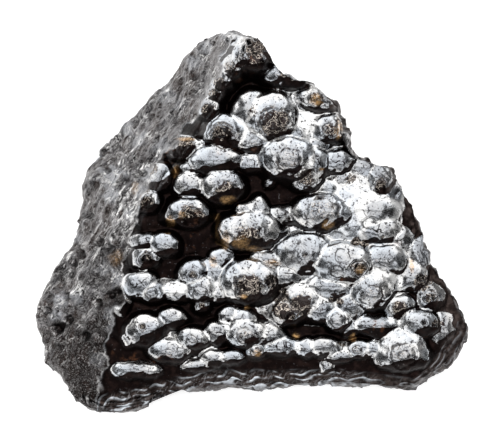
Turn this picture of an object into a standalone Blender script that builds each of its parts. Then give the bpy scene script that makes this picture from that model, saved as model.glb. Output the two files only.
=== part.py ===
"""Hematite specimen: a hand-sized chunk of botryoidal ("kidney ore") hematite.

The chunk is one solid. It was broken out of a vein, so its back and sides are
rough cleaved planes, and its free surface, which leans forward, is a crust of
round knobs that grew side by side. It lies on its flat broken underside.

Frame: origin in the middle of the underside, +Z up, -Y towards the low front
edge of the knobbed face, +X to the right when looking along +Y. Lengths below
are in millimetres and are turned into metres once, by MM.
"""

import math

import bmesh
import bpy
from mathutils import Matrix, Vector

MM = 0.001

# Driving dimensions of the whole chunk.
WIDTH = 70.0
DEPTH = 55.0
HEIGHT = 38.5
FACE_TILT = math.radians(32.0)
FACE_MIDDLE = Vector((0.0, 0.0, 22.0))

# The knobs: facets round and from pole to pole, how deep each is sunk in the
# crust, how far it swelled into its neighbours, and its length over its width.
KNOB_SIDES = 10
KNOB_RINGS = 6
KNOB_SUNK = 1.4
KNOB_SWELL = 1.22
KNOB_STRETCH = 0.9

# Unit directions of the face: across it, up it, and out of it.
ACROSS = Vector((1.0, 0.0, 0.0))
UP_FACE = Vector((0.0, math.cos(FACE_TILT), math.sin(FACE_TILT)))
OUT_OF_FACE = Vector((0.0, -math.sin(FACE_TILT), math.cos(FACE_TILT)))

# Cleavage planes: a point on the plane, then the way that the rock was lost.
CLEAVAGES = (
    # the face that carries the knobs
    (FACE_MIDDLE, OUT_OF_FACE),
    # the long broken slope on the left, in three steps from the peak down
    (Vector((-8.0, 14.8, 31.3)), Vector((-0.78, 0.38, 0.50))),
    (Vector((-18.5, 0.0, 22.0)), Vector((-0.78, 0.24, 0.58))),
    (Vector((-24.5, -22.9, 7.7)), Vector((-0.57, -0.30, 0.77))),
    # the back, behind the peak
    (Vector((-4.0, 27.5, 0.0)), Vector((0.05, 1.0, 0.04))),
    (Vector((-17.0, 24.0, 0.0)), Vector((-0.50, 0.86, 0.10))),
    (Vector((-29.0, 9.0, 0.0)), Vector((-0.94, 0.33, 0.10))),
    # the long right side, in three runs from the peak to the right corner
    (Vector((8.0, 22.5, 14.0)), Vector((0.62, 0.78, 0.05))),
    (Vector((22.0, 8.5, 10.0)), Vector((0.78, 0.62, -0.02))),
    (Vector((31.0, -7.5, 7.0)), Vector((0.90, 0.43, -0.05))),
    # the right corner and the front edge
    (Vector((33.5, -19.5, 6.0)), Vector((0.90, -0.42, -0.12))),
    (Vector((28.0, -23.2, 5.0)), Vector((0.25, -0.96, -0.15))),
    (Vector((5.0, -23.6, 5.0)), Vector((0.02, -1.0, -0.20))),
    (Vector((-17.0, -26.4, 4.0)), Vector((-0.20, -0.97, -0.15))),
    (Vector((-27.0, -25.6, 4.0)), Vector((-0.62, -0.77, -0.15))),
    (Vector((-35.2, -13.0, 3.0)), Vector((-0.98, -0.12, -0.18))),
)

# Knobs: (across, up the face, radius, rise above the face), row by row from
# the peak to the front edge, placed by hand as they grew.
KNOBS = (
    (-2.0, 27.0, 4.6, 2.2), (5.8, 24.0, 3.2, 2.6), (11.3, 20.5, 3.0, 2.4),
    (-6.6, 20.6, 3.0, 2.4), (2.6, 17.5, 4.8, 4.0), (12.2, 15.8, 2.9, 3.0),
    (-3.6, 15.6, 3.2, 3.4), (7.6, 14.0, 2.4, 3.0), (-11.8, 13.6, 3.9, 3.2),
    (6.4, 10.8, 4.2, 4.2), (14.2, 10.6, 2.6, 2.2), (-6.0, 10.4, 3.9, 3.4),
    (17.8, 8.4, 2.8, 1.8), (-14.4, 7.8, 3.0, 2.2), (-9.6, 5.8, 2.6, 2.4),
    (-4.2, 5.8, 3.2, 3.2), (20.6, 6.8, 2.4, 1.8), (15.2, 6.0, 2.0, 1.4),
    (-16.4, 3.8, 2.4, 1.8), (-9.6, 1.4, 3.5, 3.2), (4.8, 1.6, 2.4, 1.6),
    (11.8, 1.8, 4.0, 3.2), (19.4, 0.6, 5.0, 1.8), (-0.5, -1.8, 4.5, 3.4),
    (-14.2, -3.2, 2.8, 2.4), (-18.0, -2.8, 2.4, 1.4), (8.4, -5.0, 4.2, 3.0),
    (15.2, -6.6, 4.5, 3.2), (22.0, -5.6, 3.4, 2.4), (-16.4, -5.6, 2.3, 2.0),
    (-9.3, -8.2, 2.3, 1.8), (-0.3, -9.8, 4.6, 3.6), (26.0, -8.8, 2.6, 1.4),
    (-18.0, -10.2, 2.4, 2.2), (-13.6, -11.8, 2.6, 1.8), (-8.2, -11.6, 2.6, 2.2),
    (5.9, -9.4, 2.2, 1.6), (19.8, -11.8, 3.4, 2.8), (11.6, -12.0, 4.4, 2.2),
    (-4.6, -11.8, 2.2, 1.4), (6.6, -15.4, 3.2, 2.2), (14.4, -16.0, 3.2, 2.0),
    (-12.8, -16.0, 2.2, 1.8), (24.8, -14.2, 2.6, 2.0), (-2.6, -15.8, 2.2, 1.2),
    (-17.0, -18.0, 3.6, 3.0), (-5.4, -17.6, 2.6, 2.2), (0.4, -18.8, 4.4, 3.0),
    (20.2, -17.6, 2.8, 2.0), (26.8, -16.8, 2.6, 2.0), (-9.6, -19.6, 2.8, 2.6),
    (-13.4, -21.8, 2.9, 2.2), (6.6, -21.8, 2.8, 1.8), (11.0, -21.4, 2.8, 1.8),
    (-2.8, -22.6, 2.3, 1.4), (17.2, -21.6, 2.4, 1.6), (25.4, -21.6, 3.9, 2.4),
    (-18.8, -25.2, 3.6, 1.6), (-8.2, -24.0, 2.8, 1.2), (14.4, -23.0, 2.4, 1.2),
    (31.0, -18.5, 2.6, 1.0), (20.6, -22.4, 2.2, 1.2), (-22.4, -16.5, 2.8, 1.2),
)


def clear_scene():
    """Removes what a new file starts with."""
    for old in list(bpy.data.objects):
        bpy.data.objects.remove(old, do_unlink=True)


def make_collection(name):
    """A collection in the scene for one kind of object."""
    collection = bpy.data.collections.new(name)
    bpy.context.scene.collection.children.link(collection)
    return collection


def make_material(name, colour, roughness, metallic):
    """A plain Principled material."""
    material = bpy.data.materials.new(name)
    material.use_nodes = True
    shader = material.node_tree.nodes["Principled BSDF"]
    shader.inputs["Base Color"].default_value = (*colour, 1.0)
    shader.inputs["Roughness"].default_value = roughness
    shader.inputs["Metallic"].default_value = metallic
    material.diffuse_color = (*colour, 1.0)
    return material


def on_face(across, up, out):
    """The point of the chunk at a place on its knobbed face, in millimetres."""
    return FACE_MIDDLE + ACROSS * across + UP_FACE * up + OUT_OF_FACE * out


def add_object(name, bm, collection, material=None):
    """Turns a finished bmesh into an object, in metres."""
    bmesh.ops.scale(bm, vec=Vector((MM, MM, MM)), verts=bm.verts)
    mesh = bpy.data.meshes.new(name)
    bm.to_mesh(mesh)
    bm.free()
    piece = bpy.data.objects.new(name, mesh)
    collection.objects.link(piece)
    if material:
        mesh.materials.append(material)
    return piece


def cleave(bm, point, lost_way):
    """Breaks off all that lies beyond a plane and closes the break."""
    cut = bmesh.ops.bisect_plane(
        bm, geom=bm.verts[:] + bm.edges[:] + bm.faces[:], dist=0.001,
        plane_co=point, plane_no=lost_way.normalized(), clear_outer=True)
    rim = [item for item in cut["geom_cut"] if isinstance(item, bmesh.types.BMEdge)]
    bmesh.ops.edgeloop_fill(bm, edges=rim)


def make_chunk(collection, material):
    """The cleaved body: a block of rock with one flat face broken at a time."""
    block_height = HEIGHT + 10.0
    bm = bmesh.new()
    bmesh.ops.create_cube(bm, size=1.0)
    size = Vector((WIDTH + 10.0, DEPTH + 10.0, block_height))
    bmesh.ops.scale(bm, vec=size, verts=bm.verts)
    bmesh.ops.translate(bm, vec=Vector((0.0, 0.0, block_height / 2)), verts=bm.verts)
    for point, lost_way in CLEAVAGES:
        cleave(bm, point, lost_way)
    bmesh.ops.recalc_face_normals(bm, faces=bm.faces)
    return add_object("hematite_stone", bm, collection, material)


def make_knob(number, across, up, radius, rise, collection):
    """One knob: a flattened ball sunk in the crust, its poles along the face's normal."""
    bm = bmesh.new()
    bmesh.ops.create_uvsphere(bm, u_segments=KNOB_SIDES, v_segments=KNOB_RINGS, radius=1.0)
    reach = radius * KNOB_SWELL
    size = Vector((reach, reach * KNOB_STRETCH, rise + KNOB_SUNK))
    bmesh.ops.scale(bm, vec=size, verts=bm.verts)
    turn = Matrix.Rotation(FACE_TILT, 4, "X") @ Matrix.Rotation(number, 4, "Z")
    bmesh.ops.transform(bm, matrix=turn, verts=bm.verts)
    bmesh.ops.translate(bm, vec=on_face(across, up, -KNOB_SUNK), verts=bm.verts)
    knob = add_object(f"knob_{number:02d}", bm, collection)
    knob.hide_render = True
    knob.display_type = "WIRE"
    return knob


def main():
    """Builds the chunk and grows its knobs on it."""
    clear_scene()
    stone_collection = make_collection("hematite_specimen")
    knob_collection = make_collection("knobs_to_join")
    hematite = make_material("hematite", (0.11, 0.105, 0.11), 0.32, 0.9)

    stone = make_chunk(stone_collection, hematite)
    for number, (across, up, radius, rise) in enumerate(KNOBS):
        make_knob(number, across, up, radius, rise, knob_collection)

    join = stone.modifiers.new("knobs", "BOOLEAN")
    join.operation = "UNION"
    join.solver = "EXACT"
    join.use_self = True
    join.operand_type = "COLLECTION"
    join.collection = knob_collection


main()
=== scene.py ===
# %% [markdown]
# # A hematite specimen
# Hematite is an iron oxide. Where it grows slowly in an open crack it forms a crust of
# round knobs, and miners call that crust kidney ore. This lesson builds one hand-sized
# chunk of it: a wedge of rock that was broken out of its vein, with the glossy knobbed
# crust on its sloping face and rough broken rock on every other side.
# The imported CAD model gives the size and the place. It is loaded first. The finished
# stone has to stay close to that size.

# %% Load the frame
import math

import bpy
import numpy as np
from mathutils import Matrix, Vector


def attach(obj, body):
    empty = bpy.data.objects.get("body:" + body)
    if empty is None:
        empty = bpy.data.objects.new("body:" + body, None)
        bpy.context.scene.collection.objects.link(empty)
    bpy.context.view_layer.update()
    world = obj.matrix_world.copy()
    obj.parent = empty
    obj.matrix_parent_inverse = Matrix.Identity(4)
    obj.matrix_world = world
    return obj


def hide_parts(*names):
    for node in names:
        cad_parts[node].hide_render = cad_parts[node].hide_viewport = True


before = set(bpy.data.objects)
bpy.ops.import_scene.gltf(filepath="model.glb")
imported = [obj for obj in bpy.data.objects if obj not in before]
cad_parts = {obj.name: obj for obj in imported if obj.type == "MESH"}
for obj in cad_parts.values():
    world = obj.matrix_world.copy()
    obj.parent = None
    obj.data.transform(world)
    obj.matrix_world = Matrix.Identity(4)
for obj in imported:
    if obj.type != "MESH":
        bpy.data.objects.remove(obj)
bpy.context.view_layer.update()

MM = 0.001

# %% [markdown]
# ## The directions of the knobbed face
# The knobbed face leans forward by about a third of a right angle. Everything on it is
# easiest to place in the face's own directions: across it, up it, and out of it. So the
# stone is modelled with that face lying level, and it is leaned forward at the very end.
# Lengths are in millimetres until then.

# %% Face directions
FACE_TILT = math.radians(32.0)
FACE_MIDDLE = Vector((0.0, 0.0, 22.0))
face_to_stone = Matrix.Translation(FACE_MIDDLE) @ Matrix.Rotation(FACE_TILT, 4, "X")
stone_to_face = face_to_stone.inverted()
print("the face leans", round(math.degrees(FACE_TILT)), "degrees")

# %% [markdown]
# ## The broken block
# The chunk split from its vein along planes, so it starts as a box that is cut by one
# plane after another. Each cut is a bisect in edit mode that clears the outer side and
# fills the hole. The planes stand in the stone's own directions, where down is down.

# %% Cut the block
CLEAVAGES = (
    # a point on the plane, then the way that the rock was lost
    ((0.0, 0.0, 22.0), (0.0, -math.sin(FACE_TILT), math.cos(FACE_TILT))),
    ((-8.0, 14.8, 31.3), (-0.78, 0.38, 0.50)),
    ((-18.5, 0.0, 22.0), (-0.78, 0.24, 0.58)),
    ((-24.5, -22.9, 7.7), (-0.57, -0.30, 0.77)),
    ((-4.0, 27.5, 0.0), (0.05, 1.0, 0.04)),
    ((-17.0, 24.0, 0.0), (-0.50, 0.86, 0.10)),
    ((-29.0, 9.0, 0.0), (-0.94, 0.33, 0.10)),
    ((8.0, 22.5, 14.0), (0.62, 0.78, 0.05)),
    ((22.0, 8.5, 10.0), (0.78, 0.62, -0.02)),
    ((31.0, -7.5, 7.0), (0.90, 0.43, -0.05)),
    ((33.5, -19.5, 6.0), (0.90, -0.42, -0.12)),
    ((28.0, -23.2, 5.0), (0.25, -0.96, -0.15)),
    ((5.0, -23.6, 5.0), (0.02, -1.0, -0.20)),
    ((-17.0, -26.4, 4.0), (-0.20, -0.97, -0.15)),
    ((-27.0, -25.6, 4.0), (-0.62, -0.77, -0.15)),
    ((-35.2, -13.0, 3.0), (-0.98, -0.12, -0.18)),
)


def select_only(piece):
    """Makes one object the selected and active one."""
    bpy.ops.object.select_all(action="DESELECT")
    piece.select_set(True)
    bpy.context.view_layer.objects.active = piece


bpy.ops.object.select_all(action="DESELECT")
bpy.ops.mesh.primitive_cube_add(size=1.0, location=(0.0, 0.0, 25.0), scale=(80.0, 66.0, 50.0))
stone = bpy.context.object
stone.name = "hematite_chunk"
stone.data.name = "hematite_chunk"
bpy.ops.object.transform_apply(location=True, rotation=True, scale=True)
bpy.ops.object.mode_set(mode="EDIT")
for point, lost_way in CLEAVAGES:
    bpy.ops.mesh.select_all(action="SELECT")
    bpy.ops.mesh.bisect(plane_co=point, plane_no=Vector(lost_way).normalized(),
                        use_fill=True, clear_outer=True)
bpy.ops.object.mode_set(mode="OBJECT")
stone.data.transform(stone_to_face)
print("the cut block has", len(stone.data.polygons), "faces")

# %% [markdown]
# ## Bays and bulges
# Planes alone make a block that bulges everywhere. A broken edge also has bays, so the
# skin is grabbed at a few places and moved a little, as with a sculpting brush: the
# points near the place move most, and the pull fades out with distance.

# %% Grabs
GRABS = (
    # place seen from above, reach and move, in the stone's own directions
    ((-21.0, -25.0), 11.0, (-0.5, -4.2)), ((3.0, -24.5), 14.0, (0.0, -0.5)),
    ((24.0, -24.0), 9.0, (0.4, -0.9)), ((-5.0, 26.5), 10.0, (-1.4, 3.6)),
    ((20.0, 13.0), 7.0, (-3.0, -3.1)), ((14.5, 20.0), 5.0, (0.5, 0.4)),
    ((2.5, 28.0), 4.0, (-1.0, -1.0)), ((-11.0, -26.5), 8.0, (0.0, -0.8)),
    ((7.5, 24.0), 6.0, (-1.4, -1.8)), ((-22.5, 18.0), 6.0, (1.2, -1.0)),
    ((-13.5, 23.0), 7.0, (-0.5, 0.6)), ((-26.0, 13.0), 6.0, (0.1, 0.1)),
    ((-29.5, 1.0), 12.0, (2.0, -0.6)), ((-30.0, 7.5), 4.0, (0.6, -0.2)),
    ((35.0, -15.0), 8.0, (0.7, 0.2)), ((31.0, -23.0), 6.0, (-0.8, 0.6)),
    ((-28.0, -28.0), 8.0, (-0.8, -1.1)), ((27.5, 2.5), 7.0, (-0.6, -0.3)),
    ((30.5, -4.5), 6.0, (-1.2, -0.6)), ((-21.0, 19.0), 4.0, (-0.6, 0.5)),
)


def grab(points):
    """Moves the points near each grabbed place level with the table."""
    moved = points.copy()
    for place, reach, move in GRABS:
        distance = np.linalg.norm(points[:, :2] - np.array(place), axis=1) / reach
        pull = np.clip(1 - distance ** 2, 0, 1) ** 2
        moved[:, :2] += pull[:, None] * np.array(move)
    return moved


print(len(GRABS), "grabbed places")

# %% [markdown]
# ## An even skin
# Relief needs small, even faces. A voxel remesh gives the block an even skin of squares,
# and because the knobbed face lies level here, its squares line up. A few rounds of
# smoothing wear the cut edges. Then only the parts that carry fine relief are divided:
# twice on the knobbed face and the slope beside it, and once on the other sides. The
# underside stays coarse.

# %% Remesh, wear and divide
SKIN = 1.0
WEAR_ROUNDS = 6

skin = stone.modifiers.new("skin", "REMESH")
skin.mode = "VOXEL"
skin.voxel_size = SKIN
select_only(stone)
bpy.ops.object.modifier_apply(modifier="skin")
wear = stone.modifiers.new("wear", "SMOOTH")
wear.factor = 0.5
wear.iterations = WEAR_ROUNDS
bpy.ops.object.modifier_apply(modifier="wear")

base_normal = np.array(stone_to_face.to_3x3() @ Vector((0.0, 0.0, -1.0)))


def face_arrays(mesh):
    """The middle and the normal of every face."""
    middles = np.empty(len(mesh.polygons) * 3)
    normals = np.empty(len(mesh.polygons) * 3)
    mesh.polygons.foreach_get("center", middles)
    mesh.polygons.foreach_get("normal", normals)
    return middles.reshape(-1, 3), normals.reshape(-1, 3)


def divide(mask):
    """Divides the chosen faces of the stone once."""
    bpy.ops.object.mode_set(mode="EDIT")
    bpy.ops.mesh.select_mode(type="FACE")
    bpy.ops.mesh.select_all(action="DESELECT")
    bpy.ops.object.mode_set(mode="OBJECT")
    stone.data.polygons.foreach_set("select", mask)
    bpy.ops.object.mode_set(mode="EDIT")
    bpy.ops.mesh.subdivide(number_cuts=1)
    bpy.ops.object.mode_set(mode="OBJECT")


middles, normals = face_arrays(stone.data)
divide(normals @ base_normal < 0.9)
middles, normals = face_arrays(stone.data)
on_crust = (normals[:, 2] > 0.75) & (middles[:, 2] > -2.5)
on_slope = (normals[:, 0] < -0.3) & (normals[:, 2] > 0.12)
divide(on_crust | on_slope)
print("the skin has", len(stone.data.vertices), "points")

# %% [markdown]
# ## Repeatable roughness
# Broken rock is rough at every size. The roughness here comes from gradient noise: each
# corner of a grid gets a fixed random slope, and the slopes are blended in between. The
# random slopes come from the corner's own numbers, so the stone is the same every time.
# A second helper cuts space into uneven cells, as a fracture does.

# %% Noise helpers
def scramble(corner, seed):
    """A repeatable number from 0 to 1 for each grid corner."""
    number = (corner[..., 0] * 73856093) ^ (corner[..., 1] * 19349663)
    number = number ^ (corner[..., 2] * 83492791) ^ (seed * 1000003)
    number = (number ^ (number >> 13)) * 1274126177 & 0x7FFFFFFF
    number = (number ^ (number >> 15)) * 668265263 & 0x7FFFFFFF
    return ((number ^ (number >> 12)) & 0xFFFFFF) / 0xFFFFFF


def noise(points, size, seed):
    """Smooth noise from about -1 to 1 with bumps of a given size in millimetres."""
    place = points / size
    corner = np.floor(place).astype(np.int64)
    part = place - corner
    blend = part * part * part * (part * (part * 6 - 15) + 10)
    total = np.zeros(len(points))
    for step in np.ndindex(2, 2, 2):
        here = corner + np.array(step)
        away = part - np.array(step)
        weight = np.prod(np.where(np.array(step) == 1, blend, 1 - blend), axis=1)
        slope = np.stack([scramble(here, seed + axis) * 2 - 1 for axis in range(3)], axis=1)
        total += weight * np.sum(slope * away, axis=1)
    return total * 1.6


def layers_of_noise(points, size, seed, count, fade=0.5):
    """Several sizes of noise, each half the size of the one before."""
    total = np.zeros(len(points))
    for layer in range(count):
        total += fade ** layer * noise(points, size / 2 ** layer, seed + 7 * layer)
    return total


def chips(points, size, seed):
    """Flat chips at random tilts: the height of each point on the chip that it lies on."""
    place = points / size
    corner = np.floor(place).astype(np.int64)
    nearest = np.full(len(points), 9.0)
    height = np.zeros(len(points))
    for step in np.ndindex(3, 3, 3):
        here = corner + np.array(step) - 1
        centre = here + np.stack([scramble(here, seed + axis) for axis in range(3)], axis=1)
        away = place - centre
        distance = np.sum(away * away, axis=1)
        tilt = np.stack([scramble(here, seed + 3 + axis) - 0.5 for axis in range(3)], axis=1)
        closer = distance < nearest
        nearest = np.where(closer, distance, nearest)
        height = np.where(closer, 1.4 * np.sum(tilt * away, axis=1), height)
    return height * size


def ramp(values, low, high):
    """0 below low, 1 above high, and a smooth step between them."""
    part = np.clip((values - low) / (high - low), 0, 1)
    return part * part * (3 - 2 * part)


def flat(across, up):
    """Places on the knobbed face as points in space."""
    return np.stack([across, up, np.zeros_like(across)], axis=1)


test_places = np.array([[0.3, 0.2, 0.1], [5.5, 2.0, 1.0], [9.0, 8.2, 7.0]])
print("noise at three places:", noise(test_places, 2.0, 1))

# %% [markdown]
# ## Where the knobs grew
# Every knob started from one point and grew until it met its neighbours, so the knobs
# are domes that cut into each other in sharp valleys. Nature placed them by no rule, so
# each one is listed. A row says how far across and up the face the knob stands,
# how far it reaches to each side, up the face and down the face, and how high it rises.

# %% The knobs
KNOBS = (
    # the broad ground that the knobs of the right half stand on
    (17.0, 1.0, 13.0, 13.0, 12.0, 2.3), (9.5, -6.0, 10.0, 7.0, 9.0, 2.2),
    (19.5, -9.5, 11.0, 8.0, 6.5, 2.2), (7.0, 14.5, 9.5, 9.0, 7.0, 2.6),
    (10.0, -15.0, 11.0, 6.0, 4.0, 2.2), (-11.0, -11.9, 13.0, 2.6, 2.6, 2.0),
    (9.5, -22.2, 13.0, 2.2, 1.8, 1.9), (-10.9, -21.6, 5.0, 2.2, 2.0, 2.0),
    # the peak
    (-2.5, 31.0, 1.7, 1.5, 1.6, 3.4), (1.1, 28.4, 2.9, 3.4, 2.2, 4.4),
    (-1.1, 27.3, 1.7, 1.9, 1.4, 5.2), (-2.9, 25.6, 1.5, 1.8, 1.4, 4.8),
    (-4.6, 23.7, 1.5, 1.8, 1.5, 4.3), (-5.6, 21.6, 1.4, 1.7, 1.4, 3.7),
    (0.6, 26.5, 1.6, 1.3, 1.2, 4.8), (-5.2, 27.6, 2.4, 2.6, 2.6, 2.6),
    # the upper right rows
    (5.7, 24.2, 3.0, 1.7, 1.7, 4.2), (8.1, 19.8, 1.7, 1.9, 1.9, 2.3),
    (11.1, 20.7, 2.9, 2.2, 1.9, 3.9), (12.6, 15.1, 2.3, 2.4, 1.8, 3.3),
    (9.9, 15.8, 1.9, 2.0, 2.2, 2.3), (10.4, 12.6, 2.3, 2.6, 1.6, 2.4),
    (3.4, 16.4, 3.5, 4.4, 2.9, 4.6), (0.3, 18.6, 2.7, 2.8, 3.4, 3.5),
    (1.0, 12.9, 2.5, 3.4, 1.4, 3.6), (7.2, 14.8, 2.1, 2.2, 2.1, 3.0),
    (6.2, 10.2, 3.7, 3.3, 2.9, 4.9), (9.7, 9.8, 2.5, 2.3, 3.0, 3.7),
    (9.1, 7.2, 2.3, 1.7, 1.8, 3.2), (14.3, 10.0, 2.1, 1.5, 1.7, 2.6),
    (19.0, 8.9, 3.0, 2.4, 3.6, 1.7), (18.1, 6.3, 2.4, 3.2, 3.2, 1.5),
    (12.8, 5.1, 1.5, 1.5, 1.3, 1.9), (15.1, 6.9, 1.5, 1.2, 1.6, 1.6),
    (21.1, 6.4, 1.7, 2.8, 1.6, 2.5), (22.6, 4.2, 2.2, 3.0, 3.0, 1.3),
    # the upper left rows
    (-6.8, 18.8, 1.7, 1.8, 1.5, 3.5), (-3.7, 14.7, 3.1, 2.6, 2.2, 3.7),
    (-11.1, 12.8, 3.3, 1.5, 2.0, 2.6), (-14.3, 14.0, 1.6, 2.1, 2.6, 2.7),
    (-5.5, 10.0, 3.6, 2.1, 1.9, 3.5), (-9.0, 8.9, 1.7, 1.1, 1.0, 2.1),
    (0.1, 9.3, 2.5, 1.6, 1.1, 2.5), (-9.7, 5.9, 2.1, 1.8, 1.7, 2.7),
    (-4.5, 5.6, 2.9, 2.5, 2.4, 3.8), (-15.0, 7.2, 2.1, 2.2, 1.8, 2.9),
    (-16.8, 2.9, 1.9, 2.0, 1.4, 2.3), (-19.2, 2.0, 1.5, 1.7, 1.7, 1.4),
    # the middle rows
    (-10.1, 0.8, 3.1, 2.5, 1.6, 3.6), (-0.5, 1.9, 1.3, 1.0, 1.0, 2.4),
    (1.2, 1.5, 1.4, 2.0, 1.4, 2.6), (-0.1, -2.2, 4.3, 3.2, 2.6, 4.3),
    (5.2, 1.0, 2.4, 1.3, 1.5, 2.2), (3.4, 6.3, 0.8, 0.8, 0.8, 1.4),
    (11.5, 1.2, 4.0, 2.8, 2.4, 3.9), (19.1, 1.4, 4.7, 3.9, 3.8, 2.5),
    (20.6, -2.0, 3.4, 2.4, 1.8, 2.4), (16.2, -0.6, 2.4, 2.4, 3.0, 1.8),
    (8.9, -5.6, 4.1, 3.1, 3.2, 3.5), (15.0, -7.5, 4.2, 3.2, 3.3, 4.1),
    (21.9, -6.6, 3.2, 2.2, 2.6, 2.9), (26.2, -9.9, 2.5, 2.8, 2.5, 1.9),
    (27.9, -5.8, 1.6, 2.6, 2.4, 1.7), (24.6, -3.4, 1.8, 2.2, 2.2, 1.6),
    (-13.9, -4.2, 1.9, 1.7, 1.6, 2.9), (-17.2, -3.7, 2.3, 1.3, 1.2, 2.3),
    (-16.8, -6.5, 1.9, 1.7, 1.7, 2.3), (-5.8, -8.7, 2.4, 2.1, 2.7, 2.1),
    (-4.6, -6.6, 1.7, 1.4, 1.6, 2.0), (2.8, -6.7, 2.5, 1.3, 1.5, 2.3),
    (-0.1, -10.9, 4.0, 3.6, 3.0, 4.3), (4.1, -10.4, 0.9, 2.4, 2.7, 1.8),
    (6.0, -9.7, 1.9, 2.0, 1.5, 2.5), (-9.3, -9.1, 1.9, 1.9, 1.7, 2.9),
    # the lower rows
    (-18.0, -10.8, 2.4, 1.9, 2.3, 2.9), (-16.0, -12.3, 1.9, 1.7, 1.6, 2.5),
    (-11.5, -12.1, 3.0, 1.9, 1.8, 2.0), (-8.0, -12.2, 2.1, 2.3, 1.6, 3.0),
    (-5.4, -12.5, 1.7, 1.7, 1.4, 2.3), (-7.8, -14.7, 1.1, 1.0, 1.0, 2.1),
    (-21.3, -10.5, 1.5, 1.4, 2.0, 1.6), (-21.0, -14.3, 1.4, 1.8, 2.2, 1.3),
    (13.1, -11.4, 3.6, 2.0, 2.3, 3.1), (8.8, -14.2, 3.1, 3.2, 2.5, 3.0),
    (6.6, -16.2, 2.5, 2.6, 1.6, 2.7), (11.4, -15.4, 2.4, 2.6, 1.8, 2.7),
    (16.3, -14.4, 2.6, 2.6, 2.6, 2.5), (14.3, -17.2, 1.6, 1.5, 1.3, 2.9),
    (19.7, -12.4, 2.9, 3.0, 2.5, 3.5), (21.7, -10.3, 1.8, 1.8, 1.9, 2.3),
    (24.4, -14.9, 2.1, 1.7, 1.8, 2.1), (-12.5, -16.8, 2.0, 1.5, 1.6, 2.5),
    (29.4, -13.2, 2.0, 2.2, 2.2, 1.3), (-3.3, -16.4, 1.6, 1.3, 1.3, 1.9),
    (-1.1, -17.0, 1.8, 1.4, 1.8, 2.3), (20.6, -18.2, 3.2, 1.7, 1.8, 2.5),
    (16.6, -18.4, 2.0, 1.4, 1.4, 1.6), (27.7, -17.8, 2.5, 2.0, 2.0, 2.7),
    (24.4, -18.3, 0.9, 1.0, 0.8, 1.4), (31.6, -18.6, 1.8, 2.6, 2.6, 1.2),
    # the rows above the front edge
    (-17.0, -18.9, 2.7, 2.3, 2.2, 3.4), (-19.6, -20.4, 1.1, 0.9, 1.1, 1.7),
    (-9.3, -20.4, 2.3, 1.7, 1.6, 3.0), (-13.1, -22.6, 2.9, 1.9, 1.7, 2.7),
    (-5.2, -18.9, 1.8, 1.4, 2.0, 2.7), (-0.5, -19.8, 2.9, 2.3, 1.9, 3.3),
    (2.8, -19.8, 2.7, 1.9, 1.5, 2.5), (1.1, -22.5, 1.4, 1.3, 1.1, 2.5),
    (5.2, -21.9, 2.8, 1.7, 1.3, 2.3), (9.2, -22.1, 2.1, 1.6, 1.4, 2.3),
    (12.0, -21.7, 2.3, 1.4, 1.6, 2.5), (14.4, -23.4, 2.3, 1.5, 1.1, 1.9),
    (17.6, -22.3, 1.6, 1.3, 1.4, 1.9), (20.8, -22.1, 1.9, 1.3, 1.4, 1.8),
    (24.9, -23.6, 3.9, 4.0, 2.0, 3.3), (-18.6, -26.0, 3.5, 1.4, 1.4, 2.1),
    (-8.6, -25.2, 2.3, 1.0, 0.9, 1.7), (-5.8, -23.7, 1.9, 1.4, 1.3, 2.1),
    (-3.1, -23.7, 1.8, 1.3, 1.1, 2.5), (12.6, -25.6, 1.0, 1.6, 0.9, 1.1),
)
print(len(KNOBS), "knobs")
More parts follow.
